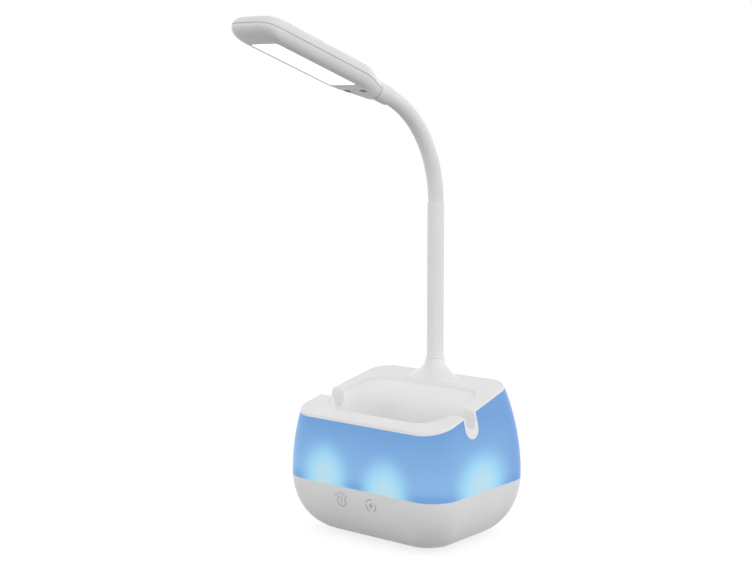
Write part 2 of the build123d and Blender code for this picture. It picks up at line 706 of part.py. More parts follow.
def head_outline(n, half, tip, inset):
    # the plan outline at the height n: straight tip, round corners, tapered neck end
    radius = max(HEAD_CORNER_R - inset - (HEAD_HALF_WIDTH - half) * 0.5, 2.0)
    half = half - inset
    tip = tip - inset
    rear = HEAD_REAR - inset - HEAD_END_BULGE * (n - HEAD_AXIS_N) ** 2 / HEAD_AXIS_N
    lean = min(0.93, abs(n - HEAD_AXIS_N) / (HEAD_AXIS_N + 0.2))
    end_half = max((HEAD_END_HALF - inset) * sqrt(1 - lean ** 2), 1.2)
    shoulder = (half + end_half) / 2 + 1.0
    waist = (HEAD_TAPER_START - rear) / 2 - 0.6
    shelf = 1.2
    tip_edge = Line((half - radius, tip), (-(half - radius), tip))
    corner_l = RadiusArc((-(half - radius), tip), (-half, tip - radius), -radius)
    side_l = Line((-half, tip - radius), (-half, HEAD_TAPER_START))
    taper_l = Spline((-half, HEAD_TAPER_START), (-shoulder, waist), (-end_half, -rear + shelf),
                     tangents=[(0, -1), (0.28, -1)])
    end = ThreePointArc((-end_half, -rear + shelf), (0, -rear), (end_half, -rear + shelf))
    taper_r = Spline((end_half, -rear + shelf), (shoulder, waist), (half, HEAD_TAPER_START),
                     tangents=[(0.28, 1), (0, 1)])
    side_r = Line((half, HEAD_TAPER_START), (half, tip - radius))
    corner_r = RadiusArc((half, tip - radius), (half - radius, tip), -radius)
    wire = Wire([tip_edge, corner_l, side_l, taper_l, end, taper_r, side_r, corner_r])
    return Pos(0, 0, n) * Face(wire)


def rounding(share, curve):
    # a quarter of a superellipse: how far out and how far up at this share of the turn
    turn = share * pi / 2
    return sin(turn) ** (2 / curve), 1 - cos(turn) ** (2 / curve)


def head_lower(inset):
    steps = 6
    floor = inset
    sections = []
    for i in range(steps + 1):
        out, up = rounding(i / steps, HEAD_UNDER_CURVE)
        half = HEAD_FLAT_HALF + (HEAD_HALF_WIDTH - HEAD_FLAT_HALF) * out
        tip = HEAD_FLAT_TIP + (HEAD_TIP - HEAD_FLAT_TIP) * out
        sections.append(head_outline(floor + (HEAD_SEAM_N - floor) * up, half, tip, inset))
    return loft(sections)


def head_upper(inset):
    steps = 6
    roof = HEAD_THICK - inset
    sections = []
    for i in range(steps + 1):
        out, up = rounding(i / steps, HEAD_TOP_CURVE)
        half = HEAD_TOP_HALF + (HEAD_HALF_WIDTH - HEAD_TOP_HALF) * out
        tip = HEAD_TOP_TIP + (HEAD_TIP - HEAD_TOP_TIP) * out
        sections.append(head_outline(roof - (roof - HEAD_SEAM_N) * up, half, tip, inset))
    return loft(sections)


def head_box(x, low_a, high_a, low_n, high_n):
    return Pos(0, (low_a + high_a) / 2, (low_n + high_n) / 2) * Box(2 * x, high_a - low_a, high_n - low_n)


def head_cavity(shape):
    # the hollow stops short of the neck end, which stays solid round the ferrule
    return shape & head_box(BIG, ferrule_front_a(), BIG / 2, -BIG / 2, BIG / 2)


def ferrule_front_a():
    return HEAD_SCREW_A - HEAD_BOSS_D / 2 - 1.2


def ferrule_bore():
    depth = ferrule_front_a() + HEAD_REAR + 2
    plane = Plane(origin=(0, -HEAD_REAR - 1, HEAD_AXIS_N), x_dir=(1, 0, 0), z_dir=(0, 1, 0))
    return extrude(plane * Circle(CORE_D / 2 + SEAT_GAP), depth)


def diffuser_outline(grow):
    radius = DIFFUSER_CORNER_R + max(grow, 0)
    plate = RectangleRounded(DIFFUSER_WIDTH + 2 * grow, DIFFUSER_LENGTH + 2 * grow, radius)
    return Pos(0, DIFFUSER_LENGTH / 2) * plate


def board_ribs():
    top = HEAD_BOARD_N - SEAT_GAP
    front = DIFFUSER_LENGTH + DIFFUSER_FLANGE + 0.6
    half = HEAD_BOARD_WIDTH / 2
    ribs = head_box(half, -2 * DIFFUSER_FLANGE - 1.0, -DIFFUSER_FLANGE - 0.6, 0.5, top)
    return ribs + head_box(half, front, front + 1.4, 0.5, top)


def head_frame():
    outer = head_lower(0)
    seam = HEAD_SEAM_N - SEAM_GAP / 2
    frame = outer - head_cavity(head_lower(HEAD_WALL))
    frame += board_ribs() & outer
    for x in (-HEAD_SCREW_X, HEAD_SCREW_X):
        frame += Pos(x, HEAD_SCREW_A, 1.75) * Cylinder(HEAD_BOSS_D / 2, 2.5)
    frame = frame & head_box(BIG, -BIG, BIG, -1, seam)
    frame -= Plane.XY.offset(-1) * extrude(diffuser_outline(FIT_GAP), 4)
    pocket = DIFFUSER_FLANGE + FIT_GAP
    frame -= Plane.XY.offset(DIFFUSER_RECESS + DIFFUSER_THICK) * extrude(diffuser_outline(pocket), 1.4)
    sink_r = HEAD_SCREW_HEAD_D / 2 + 2 * FIT_GAP
    for x in (-HEAD_SCREW_X, HEAD_SCREW_X):
        frame -= Pos(x, HEAD_SCREW_A, 0) * Cylinder(sink_r, 2 * HEAD_SCREW_SEAT_N)
        frame -= Pos(x, HEAD_SCREW_A, 2.5) * Cylinder(HEAD_SCREW_D / 2 + 0.2, 5)
    frame -= ferrule_bore()
    return head_frame_of_reference() * frame


def head_cover():
    outer = head_upper(0)
    seam = HEAD_SEAM_N + SEAM_GAP / 2
    cover = outer - head_cavity(head_upper(HEAD_WALL))
    cover = cover & head_box(BIG, -BIG, BIG, seam, BIG)
    lip = (head_upper(SEAM_LIP) - head_upper(HEAD_WALL)) & head_box(BIG, -BIG, BIG, HEAD_SEAM_N, seam + 1)
    lip = lip & head_box(BIG, ferrule_front_a() + 1, BIG / 2, 0, BIG)
    lip_low = extrude(Plane.XY.offset(HEAD_SEAM_N - SEAM_GAP / 2 + SEAT_GAP) * lip_ring(), SEAM_GAP)
    cover += lip + lip_low
    for x in (-HEAD_SCREW_X, HEAD_SCREW_X):
        low = boss_low_n()
        high = HEAD_THICK - 1.0
        cover += Pos(x, HEAD_SCREW_A, (low + high) / 2) * Cylinder(HEAD_BOSS_D / 2, high - low)
        hole_top = low + HEAD_SCREW_LENGTH - 1.0
        cover -= Pos(x, HEAD_SCREW_A, hole_top / 2) * Cylinder(HEAD_SCREW_D / 2, hole_top)
    cover -= ferrule_bore()
    return head_frame_of_reference() * cover


def lip_ring():
    outer = head_outline(HEAD_SEAM_N, HEAD_HALF_WIDTH, HEAD_TIP, SEAM_LIP)
    inner = head_outline(HEAD_SEAM_N, HEAD_HALF_WIDTH, HEAD_TIP, HEAD_WALL)
    flat = Pos(0, 0, -HEAD_SEAM_N) * (outer - inner)
    keep = Pos(0, BIG / 2 + ferrule_front_a() + 1) * Rectangle(BIG, BIG)
    return flat & keep


def boss_low_n():
    return 3.0 + SEAT_GAP


def head_diffuser():
    plug = extrude(Plane.XY.offset(DIFFUSER_RECESS) * diffuser_outline(0), DIFFUSER_THICK + SEAT_GAP)
    flange = Plane.XY.offset(DIFFUSER_RECESS + DIFFUSER_THICK + SEAT_GAP)
    return head_frame_of_reference() * (plug + extrude(flange * diffuser_outline(DIFFUSER_FLANGE), 0.9))


def head_led_board():
    low = -2 * DIFFUSER_FLANGE - 1.0
    high = DIFFUSER_LENGTH + DIFFUSER_FLANGE + 2.0
    board = head_box(HEAD_BOARD_WIDTH / 2, low, high, HEAD_BOARD_N, HEAD_BOARD_N + HEAD_BOARD_THICK)
    return head_frame_of_reference() * board


def head_leds():
    chips = []
    pitch = DIFFUSER_LENGTH / HEAD_LED_COLUMNS
    row_gap = HEAD_BOARD_WIDTH / HEAD_LED_ROWS
    for row in range(HEAD_LED_ROWS):
        for column in range(HEAD_LED_COLUMNS):
            x = (row - (HEAD_LED_ROWS - 1) / 2) * row_gap
            a = (column + 0.5) * pitch
            n = HEAD_BOARD_N - SEAT_GAP / 5 - HEAD_LED_H / 2
            chips.append(Pos(x, a, n) * Box(HEAD_LED_SIZE, HEAD_LED_SIZE * 1.25, HEAD_LED_H))
    return head_frame_of_reference() * Compound(chips)


def head_screws():
    screws = []
    for x in (-HEAD_SCREW_X, HEAD_SCREW_X):
        top = HEAD_SCREW_SEAT_N
        head = Cylinder(HEAD_SCREW_HEAD_D / 2, HEAD_SCREW_HEAD_H)
        head = Pos(x, HEAD_SCREW_A, top - HEAD_SCREW_HEAD_H / 2) * head
        cross = Box(0.7, 2.4, 0.8) + Box(2.4, 0.7, 0.8)
        head -= Pos(x, HEAD_SCREW_A, top - HEAD_SCREW_HEAD_H) * cross
        length = HEAD_SCREW_LENGTH - 0.5
        shank = Pos(x, HEAD_SCREW_A, top - 0.3 + length / 2) * Cylinder(HEAD_SCREW_D / 2 - SEAT_GAP, length)
        screws.append(head + shank)
    return head_frame_of_reference() * Compound(screws)


def head_ferrule():
    # the core's last stretch: a dome seat at the last joint, then straight into the head
    start = joint_turn(NECK_JOINTS)
    stub = arc_tube(start, NECK_TURN_DEG, CORE_D, CORE_BORE_D)
    end = arc_plane(NECK_TURN_DEG)
    reach = BOOT_LENGTH + HEAD_REAR + ferrule_front_a()
    stub += extrude(end * Circle(CORE_D / 2) - end * Circle(CORE_BORE_D / 2), reach)
    return stub - dome(start, DOME_R + DOME_GAP)


def neck_boot():
    plane = arc_plane(NECK_TURN_DEG)
    body = extrude(plane * Circle(BOOT_D / 2), BOOT_LENGTH - SEAT_GAP)
    body = fillet(body.edges().sort_by(Axis((0, 0, 0), tuple(plane.z_dir)))[0], BOOT_LIP * 0.5)
    return body - extrude(plane.offset(-1) * Circle(SLEEVE_D / 2 + SEAT_GAP), BOOT_LENGTH + 2)


# ---------------------------------------------------------------- write the pieces
def pieces():
    nodes = {
        "lower_housing": lower_housing(),
        "glow_band": glow_band(),
        "top_deck": top_deck(),
        "base_pad": base_pad(),
        "housing_screws": housing_screws(),
        "ballast_plate": ballast_plate(),
        "battery_cell": battery_cell(),
        "main_board": main_board(),
        "board_screws": board_screws(),
        "charging_socket": charging_socket(),
        "touch_board": touch_board(),
        "touch_springs": touch_springs(),
        "glow_led_board": glow_led_board(),
        "glow_leds": glow_leds(),
        "lower_post": lower_post(),
        "neck_washer": neck_washer(),
        "neck_nut": neck_nut(),
        "post_ferrule": post_ferrule(),
        "gooseneck_sleeve": gooseneck_sleeve(),
        "neck_cable": neck_cable(),
        "neck_boot": neck_boot(),
        "head_ferrule": head_ferrule(),
        "head_frame": head_frame(),
        "head_cover": head_cover(),
        "head_diffuser": head_diffuser(),
        "head_led_board": head_led_board(),
        "head_leds": head_leds(),
        "head_screws": head_screws(),
    }
    for index in range(1, NECK_JOINTS):
        nodes[f"neck_link_{index:02d}"] = neck_link(index)
    return nodes


os.makedirs("parts", exist_ok=True)
for name, shape in pieces().items():
    export_step(shape, f"parts/{name}.step")
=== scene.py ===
import json
import math

import bpy
from bpy.props import FloatProperty, FloatVectorProperty, IntProperty, PointerProperty
from mathutils import Matrix, Vector


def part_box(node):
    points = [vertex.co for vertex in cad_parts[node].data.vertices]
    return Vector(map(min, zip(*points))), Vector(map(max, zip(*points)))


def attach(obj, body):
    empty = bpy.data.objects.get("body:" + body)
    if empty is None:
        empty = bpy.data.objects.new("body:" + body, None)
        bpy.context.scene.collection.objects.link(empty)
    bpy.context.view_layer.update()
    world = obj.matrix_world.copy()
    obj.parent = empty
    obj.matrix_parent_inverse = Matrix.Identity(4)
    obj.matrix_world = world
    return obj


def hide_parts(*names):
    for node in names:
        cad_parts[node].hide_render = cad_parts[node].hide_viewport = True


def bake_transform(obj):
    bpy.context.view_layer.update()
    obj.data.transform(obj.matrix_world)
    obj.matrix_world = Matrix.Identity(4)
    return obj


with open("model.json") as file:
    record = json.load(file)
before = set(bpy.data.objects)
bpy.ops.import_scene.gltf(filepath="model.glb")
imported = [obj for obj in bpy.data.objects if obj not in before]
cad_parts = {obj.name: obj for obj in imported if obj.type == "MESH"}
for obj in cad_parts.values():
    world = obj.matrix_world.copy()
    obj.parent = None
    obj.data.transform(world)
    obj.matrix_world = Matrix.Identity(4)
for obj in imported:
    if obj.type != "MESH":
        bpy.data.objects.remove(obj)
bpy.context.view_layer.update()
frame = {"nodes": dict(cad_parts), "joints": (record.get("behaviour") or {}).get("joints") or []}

bl_info = {
    "name": "Organizer Desk Lamp",
    "version": (1, 0, 0),
    "blender": (4, 5, 0),
    "location": "View3D > Sidebar > Lamp",
    "description": "Dresses a desk lamp on a glowing organizer base",
    "category": "Object",
}

BAND_LOW, BAND_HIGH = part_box("glow_band")
SLEEVE_LOW, SLEEVE_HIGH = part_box("gooseneck_sleeve")
POST_LOW, POST_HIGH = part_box("lower_post")
POST_TOP = Vector(((POST_LOW[0] + POST_HIGH[0]) / 2, (POST_LOW[1] + POST_HIGH[1]) / 2, POST_HIGH[2]))

# The neck bends at these hinges, which lie evenly along one arc over the post
HINGES = [joint for joint in frame["joints"] if joint["type"] == "hinge"]


def arc_radius():
    """Radius of the arc that leaves the post upright and passes through the last hinge."""
    across = Vector(HINGES[-1]["pos_m"]) - POST_TOP
    return (across.y ** 2 + across.z ** 2) / (-2 * across.y)


# ---------------------------------------------------------------- sizes and colours
class LampBaseSettings(bpy.types.PropertyGroup):
    width: FloatProperty(name="Base width", description="Widest size of the base, left to right",
                         default=BAND_HIGH[0] - BAND_LOW[0], unit="LENGTH")
    depth: FloatProperty(name="Base depth", description="Widest size of the base, front to back",
                         default=BAND_HIGH[1] - BAND_LOW[1], unit="LENGTH")
    widest_height: FloatProperty(name="Widest height",
                                 description="Height at which the base is widest",
                                 default=0.0365, unit="LENGTH")
    light_mark: FloatProperty(name="Light mark",
                              description="Radius of the ring of the left touch mark",
                              default=0.0031, unit="LENGTH")
    colour_mark: FloatProperty(name="Colour mark",
                               description="Radius of the ring of the right touch mark",
                               default=0.0037, unit="LENGTH")
    cup_width: FloatProperty(name="Cup width", description="Inner width of the cup",
                             default=0.089, unit="LENGTH")
    cup_depth: FloatProperty(name="Cup depth", description="Inner size of the cup, front to back",
                             default=0.0525, unit="LENGTH")
    cup_middle: FloatProperty(name="Cup middle",
                              description="Where the cup's middle lies, front to back",
                              default=-0.00575, unit="LENGTH")
    # Painted light: the cup's inner wall is given a faint white glow, fuller deeper under the deck,
    # in place of the room's light in the cup.
    cup_painted_glow: FloatProperty(name="Cup glow",
                            description="Strength of the light that comes through the cup's wall",
                            default=0.08)
    # Colour of the light painted on the cup's inner wall.
    cup_painted_colour: FloatVectorProperty(name="Cup light",
                                   description="Colour of the light in the cup",
                                   subtype="COLOR", size=3, default=(0.97, 0.985, 1.0))
    deck_height: FloatProperty(name="Deck height",
                               description="Height of the deck's top face at its middle",
                               default=0.0829, unit="LENGTH")
    deck_slope: FloatProperty(name="Deck slope",
                              description="Rise of the deck for each metre towards the back",
                              default=0.2314)
    housing_colour: FloatVectorProperty(name="Housing",
                                        description="White of the moulded housing",
                                        subtype="COLOR", size=3, default=(0.78, 0.78, 0.785))
    mark_colour: FloatVectorProperty(name="Touch marks",
                                     description="Grey of the printed touch marks",
                                     subtype="COLOR", size=3, default=(0.35, 0.35, 0.36))


class LampGlowSettings(bpy.types.PropertyGroup):
    body_colour: FloatVectorProperty(name="Band",
                                     description="Blue of the lit band between its lamps",
                                     subtype="COLOR", size=3, default=(0.215, 0.430, 0.745))
    edge_colour: FloatVectorProperty(name="Band edge",
                                     description="Deeper blue near the band's edges",
                                     subtype="COLOR", size=3, default=(0.120, 0.300, 0.640))
    spot_colour: FloatVectorProperty(name="Spot",
                                     description="Cyan round each lamp behind the band",
                                     subtype="COLOR", size=3, default=(0.330, 0.690, 0.920))
    core_colour: FloatVectorProperty(name="Spot core",
                                     description="Pale centre of each lamp's glow",
                                     subtype="COLOR", size=3, default=(0.500, 0.750, 0.840))
    spot_width: FloatProperty(name="Spot width",
                              description="Half width of a lamp's glow on the band",
                              default=0.0160, unit="LENGTH")
    spot_height: FloatProperty(name="Spot height",
                               description="How far a lamp's glow climbs the band",
                               default=0.0180, unit="LENGTH")
    strength: FloatProperty(name="Band light", description="How brightly the band shows",
                            default=0.86)


class LampNeckSettings(bpy.types.PropertyGroup):
    radius: FloatProperty(name="Bend radius", description="Radius of the neck's bend at rest",
                          default=arc_radius(), unit="LENGTH")
    sleeve: FloatProperty(name="Sleeve", description="Diameter of the silicone sleeve",
                          default=SLEEVE_HIGH[0] - SLEEVE_LOW[0], unit="LENGTH")
    sleeve_wall: FloatProperty(name="Sleeve wall", description="Thickness of the silicone sleeve",
                               default=0.0010, unit="LENGTH")
    under_boot: FloatProperty(name="Under the boot",
                              description="How far the sleeve runs on under the boot",
                              default=0.006, unit="LENGTH")
    cable: FloatProperty(name="Cable", description="Diameter of the cable in the neck",
                         default=0.0018, unit="LENGTH")
    sides: IntProperty(name="Sides", description="Facets round the sleeve", default=64)
    rings: IntProperty(name="Rings", description="Steps along one piece of the sleeve", default=8)
    colour: FloatVectorProperty(name="Silicone", description="White of the silicone sleeve",
                                subtype="COLOR", size=3, default=(0.74, 0.74, 0.745))


class LampHeadSettings(bpy.types.PropertyGroup):
    lit_colour: FloatVectorProperty(name="Light", description="Colour of the lit diffuser",
                                    subtype="COLOR", size=3, default=(1.0, 1.0, 1.0))
    # Painted shade: the head's shell is the same white plastic as the housing, given a darker white
    # so that the head looks less lit.
    white: FloatVectorProperty(name="White", description="White of the head's shell",
                               subtype="COLOR", size=3, default=(0.69, 0.69, 0.695))
    light_strength: FloatProperty(name="Light strength",
                                  description="How brightly the diffuser shows", default=1.15)


class LampStageSettings(bpy.types.PropertyGroup):
    floor_size: FloatProperty(name="Floor", description="Half width of the floor",
                              default=3.0, unit="LENGTH")
    floor_colour: FloatVectorProperty(name="Floor colour", description="Pale floor and backdrop",
                                      subtype="COLOR", size=3, default=(0.32, 0.32, 0.32))
    floor_lift: FloatProperty(name="Floor lift",
                              description="Light added to the floor as the camera sees it",
                              default=0.77)
    horizon: FloatProperty(name="Horizon", description="Brightness of the room at the horizon",
                           default=1.76)
    zenith: FloatProperty(name="Zenith", description="Brightness of the room overhead",
                          default=0.46)
    below: FloatProperty(name="Below",
                         description="Share of the horizon's brightness that is left under it",
                         default=0.35)
    key_power: FloatProperty(name="Key lamp", description="Power of the large lamp up right",
                             default=1.0)
    key_size: FloatProperty(name="Key lamp size", description="Width of the large lamp",
                            default=0.9, unit="LENGTH")
    key_place: FloatVectorProperty(name="Key lamp place", description="Where the large lamp hangs",
                                   size=3, subtype="XYZ", default=(0.9, -0.1, 1.15))
    side_power: FloatProperty(name="Side lamp", description="Power of the lamp at the right",
                              default=1.5)
    side_size: FloatProperty(name="Side lamp size", description="Width of the lamp at the right",
                             default=0.8, unit="LENGTH")
    side_place: FloatVectorProperty(name="Side lamp place",
                                    description="Where the lamp at the right stands",
                                    size=3, subtype="XYZ", default=(1.2, 0.2, 0.5))
    eye: FloatVectorProperty(name="Camera", description="Where the camera stands", size=3,
                             subtype="XYZ", default=(0.52154, -0.66394, 0.25208))
    aim: FloatVectorProperty(name="Aim", description="The camera's direction", size=3,
                             subtype="XYZ", default=(-0.63010, 0.76734, -0.11898))
    focal: FloatProperty(name="Focal length",
                         description="Focal length in mm on a 36 mm frame", default=68.16)


class LampSettings(bpy.types.PropertyGroup):
    base: PointerProperty(type=LampBaseSettings, name="Base", description="The organizer base")
    glow: PointerProperty(type=LampGlowSettings, name="Glow", description="The glowing band")
    neck: PointerProperty(type=LampNeckSettings, name="Neck", description="The flexible neck")
    head: PointerProperty(type=LampHeadSettings, name="Head", description="The light head")
    stage: PointerProperty(type=LampStageSettings, name="Stage",
                           description="Floor, lamps and camera")


def settings():
    return bpy.context.scene.lamp_settings


# ---------------------------------------------------------------- material helpers
# The sockets of a Mix node that hold its two inputs, and the one that holds its result
MIX_SOCKETS = {"FLOAT": (2, 3, 0), "RGBA": (6, 7, 2)}


class NodeBench:
    """Builds the node tree of a material or a world, a node at a time."""

    def __init__(self, owner, shader="Principled BSDF"):
        owner.use_nodes = True
        self.owner = owner
        self.tree = owner.node_tree
        self.shader = self.tree.nodes[shader]
        self.coords = self.tree.nodes.get("Texture Coordinate") or self.add("ShaderNodeTexCoord")

    def add(self, kind, **values):
        node = self.tree.nodes.new(kind)
        for key, value in values.items():
            setattr(node, key, value)
        return node

    def feed(self, socket, value):
        """Writes a number or a colour into a socket, or links another node's output to it."""
        if isinstance(value, bpy.types.NodeSocket):
            self.tree.links.new(value, socket)
        elif isinstance(value, tuple):
            socket.default_value = (*value, 1.0)
        else:
            socket.default_value = value

    def give(self, name, value):
        """Gives one socket of the shader its number, its colour or its pattern."""
        self.feed(self.shader.inputs[name], value)

    def math(self, operation, *values):
        node = self.add("ShaderNodeMath", operation=operation)
        for socket, value in zip(node.inputs, values):
            self.feed(socket, value)
        return node.outputs[0]

    def axes(self, kind="Object"):
        """The X, the Y and the Z of each point."""
        node = self.add("ShaderNodeSeparateXYZ")
        self.feed(node.inputs[0], self.coords.outputs[kind])
        return node.outputs

    def noise(self, scale, detail=2.0):
        node = self.add("ShaderNodeTexNoise")
        self.feed(node.inputs["Vector"], self.coords.outputs["Object"])
        self.feed(node.inputs["Scale"], scale)
        self.feed(node.inputs["Detail"], detail)
        return node.outputs["Fac"]

    def ramp(self, factor, low, high, start=0.3, end=0.7):
        """The colour low where the factor is under start, and high where it is over end."""
        node = self.add("ShaderNodeValToRGB")
        stops = node.color_ramp.elements
        stops[0].position = start
        stops[0].color = (*low, 1.0)
        stops[1].position = end
        stops[1].color = (*high, 1.0)
        self.feed(node.inputs["Fac"], factor)
        return node.outputs["Color"]

    def mix(self, factor, first, second, kind="RGBA"):
        node = self.add("ShaderNodeMix", data_type=kind)
        first_socket, second_socket, result = MIX_SOCKETS[kind]
        self.feed(node.inputs[0], factor)
        self.feed(node.inputs[first_socket], first)
        self.feed(node.inputs[second_socket], second)
        return node.outputs[result]

    def spread(self, value, start, end, low, high, kind="LINEAR"):
        """Maps the stretch from start to end to low and high, and stays level outside it."""
        node = self.add("ShaderNodeMapRange", interpolation_type=kind)
        self.feed(node.inputs["Value"], value)
        self.feed(node.inputs["From Min"], start)
        self.feed(node.inputs["From Max"], end)
        self.feed(node.inputs["To Min"], low)
        self.feed(node.inputs["To Max"], high)
        return node.outputs["Result"]

    def slope(self, value, start, end, most=1.0):
        """A smooth step from 0 where the value is start to most where it is end."""
        if start < end:
            return self.spread(value, start, end, 0.0, most, "SMOOTHSTEP")
        return self.spread(value, end, start, most, 0.0, "SMOOTHSTEP")

    def bump(self, height, strength, distance):
        node = self.add("ShaderNodeBump")
        self.feed(node.inputs["Height"], height)
        self.feed(node.inputs["Strength"], strength)
        self.feed(node.inputs["Distance"], distance)
        self.give("Normal", node.outputs["Normal"])


def new_finish(name):
    """A bench with a new material on it."""
    return NodeBench(bpy.data.materials.new(name))


def not_a_lamp(material):
    """Keeps a surface that only looks bright out of the lamps that the light is sampled from."""
    material.cycles.emission_sampling = "NONE"
    return material


def shade(colour, factor):
    return tuple(min(1.0, channel * factor) for channel in colour)


def grey(value):
    return value, value, value


def moulded_plastic(name, colour, roughness=0.34):
    """Moulded plastic: faint cloudiness, uneven gloss and a fine eroded skin."""
    bench = new_finish(name)
    bench.give("Base Color",
               bench.ramp(bench.noise(38.0, 3.0), shade(colour, 0.975), shade(colour, 1.015)))
    bench.give("Roughness",
               bench.ramp(bench.noise(90.0), grey(roughness - 0.04), grey(roughness + 0.05),
                          0.35, 0.65))
    bench.bump(bench.noise(2600.0, 1.0), 0.04, 0.00006)
    bench.give("IOR", 1.49)
    return bench.owner


def soft_silicone(name, colour):
    """Silicone: matt, with a faint sheen and a dust-fine grain."""
    bench = new_finish(name)
    bench.give("Base Color",
               bench.ramp(bench.noise(60.0, 3.0), shade(colour, 0.97), shade(colour, 1.02)))
    bench.give("Roughness", bench.ramp(bench.noise(180.0), grey(0.46), grey(0.56), 0.35, 0.65))
    bench.bump(bench.noise(3800.0, 1.0), 0.06, 0.00005)
    bench.give("IOR", 1.42)
    bench.give("Sheen Weight", 0.08)
    return bench.owner


def bare_metal(name, colour, roughness=0.3, lines=(900.0, 900.0, 60.0)):
    """Plated or plain metal with drawn lines; lines says how close they lie along each axis."""
    bench = new_finish(name)
    mapping = bench.add("ShaderNodeMapping")
    mapping.inputs["Scale"].default_value = lines
    bench.feed(mapping.inputs["Vector"], bench.coords.outputs["Object"])
    streak = bench.add("ShaderNodeTexNoise")
    bench.feed(streak.inputs["Scale"], 1.0)
    bench.feed(streak.inputs["Detail"], 2.0)
    bench.feed(streak.inputs["Vector"], mapping.outputs["Vector"])
    drawn = streak.outputs["Fac"]
    bench.give("Base Color", bench.ramp(drawn, shade(colour, 0.86), shade(colour, 1.08)))
    bench.give("Metallic", 1.0)
    bench.give("Roughness", bench.ramp(drawn, grey(roughness - 0.06), grey(roughness + 0.1)))
    bench.bump(drawn, 0.15, 0.00003)
    return bench.owner


def circuit_board(name, colour, track):
    """Solder mask with paler copper tracks under it."""
    bench = new_finish(name)
    tracks = bench.add("ShaderNodeTexBrick")
    bench.feed(tracks.inputs["Vector"], bench.coords.outputs["Object"])
    bench.feed(tracks.inputs["Scale"], 220.0)
    bench.feed(tracks.inputs["Mortar Size"], 0.06)
    bench.feed(tracks.inputs["Color1"], colour)
    bench.feed(tracks.inputs["Color2"], shade(colour, 0.85))
    bench.feed(tracks.inputs["Mortar"], track)
    bench.give("Base Color", tracks.outputs["Color"])
    bench.give("Roughness", 0.3)
    bench.bump(bench.noise(900.0, 1.0), 0.1, 0.00004)
    return bench.owner


def foam_pad(name, colour):
    """Closed-cell foam: dark, matt and finely pitted."""
    bench = new_finish(name)
    voronoi = bench.add("ShaderNodeTexVoronoi")
    bench.feed(voronoi.inputs["Vector"], bench.coords.outputs["Object"])
    bench.feed(voronoi.inputs["Scale"], 1500.0)
    cells = voronoi.outputs["Distance"]
    bench.give("Base Color", bench.ramp(cells, shade(colour, 0.7), shade(colour, 1.3), 0.0, 0.6))
    bench.give("Roughness", 0.9)
    bench.bump(cells, 0.5, 0.00015)
    return bench.owner


def lit_surface(name, colour, strength, cloud_scale=70.0):
    """An opal or resin surface that is lit from inside, very slightly uneven."""
    bench = new_finish(name)
    cloud = bench.noise(cloud_scale)
    bench.give("Emission Color", bench.ramp(cloud, shade(colour, 0.985), colour))
    bench.give("Base Color", bench.ramp(cloud, shade(colour, 0.78), shade(colour, 0.82)))
    bench.give("Emission Strength", strength)
    bench.give("Roughness", 0.45)
    return not_a_lamp(bench.owner)


# Where the lamps' glow lies on the band: along the wall, and over the base's widest line
FRONT_SPOTS = ((-0.0240, 0.0015), (0.0215, -0.0015))
REAR_SPOTS = ((-0.0220, 0.0005), (0.0220, 0.0005))
SIDE_SPOT = (-0.0055, 0.0015)
SIDE_STRETCH = 1.4
SPOT_FALL = 1.15                        # how steeply a spot fades towards its edge
SPOT_START, SPOT_FULL = 0.05, 0.72      # light at which a spot's colour starts and is full
CORE_START, CORE_FULL = 0.55, 1.05      # and the same for its pale core

# The stretches over which the band's blue deepens, and how much of the deeper blue is reached
UPPER_START, UPPER_END = 0.25, 1.0                          # in widest heights over that line
EDGE_START, EDGE_END, EDGE_SHARE = 0.0050, -0.0026, 0.85    # in metres over that line
REAR_START, REAR_END, REAR_SHARE = 0.006, 0.044, 0.9        # in metres from front to back
MOTTLE = 0.6                            # how far the upper stretch wanders up and down


def glow_spots():
    """Where the small lamps shine on the band, and how far each glow is stretched along it."""
    base = settings().base
    spots = [(x, -base.depth / 2, over, 1.0) for x, over in FRONT_SPOTS]
    spots += [(x, base.depth / 2, over, 1.0) for x, over in REAR_SPOTS]
    spots += [(side * base.width / 2, *SIDE_SPOT, SIDE_STRETCH) for side in (-1, 1)]
    return [(x, y, base.widest_height + over, stretch) for x, y, over, stretch in spots]


def spot_light(bench, axes):
    """How brightly the nearest of the small lamps lights each point, from 0 to 1."""
    glow = settings().glow
    brightest = 0.0
    for x, y, z, stretch in glow_spots():
        width = glow.spot_width * stretch
        reach = 0.0
        for axis, place, size in zip(axes, (x, y, z), (width, width, glow.spot_height)):
            share = bench.math("DIVIDE", bench.math("SUBTRACT", axis, place), size)
            reach = bench.math("ADD", reach, bench.math("MULTIPLY", share, share))
        fading = bench.math("MULTIPLY", bench.math("POWER", reach, SPOT_FALL), -1.0)
        brightest = bench.math("MAXIMUM", brightest, bench.math("EXPONENT", fading))
    return brightest


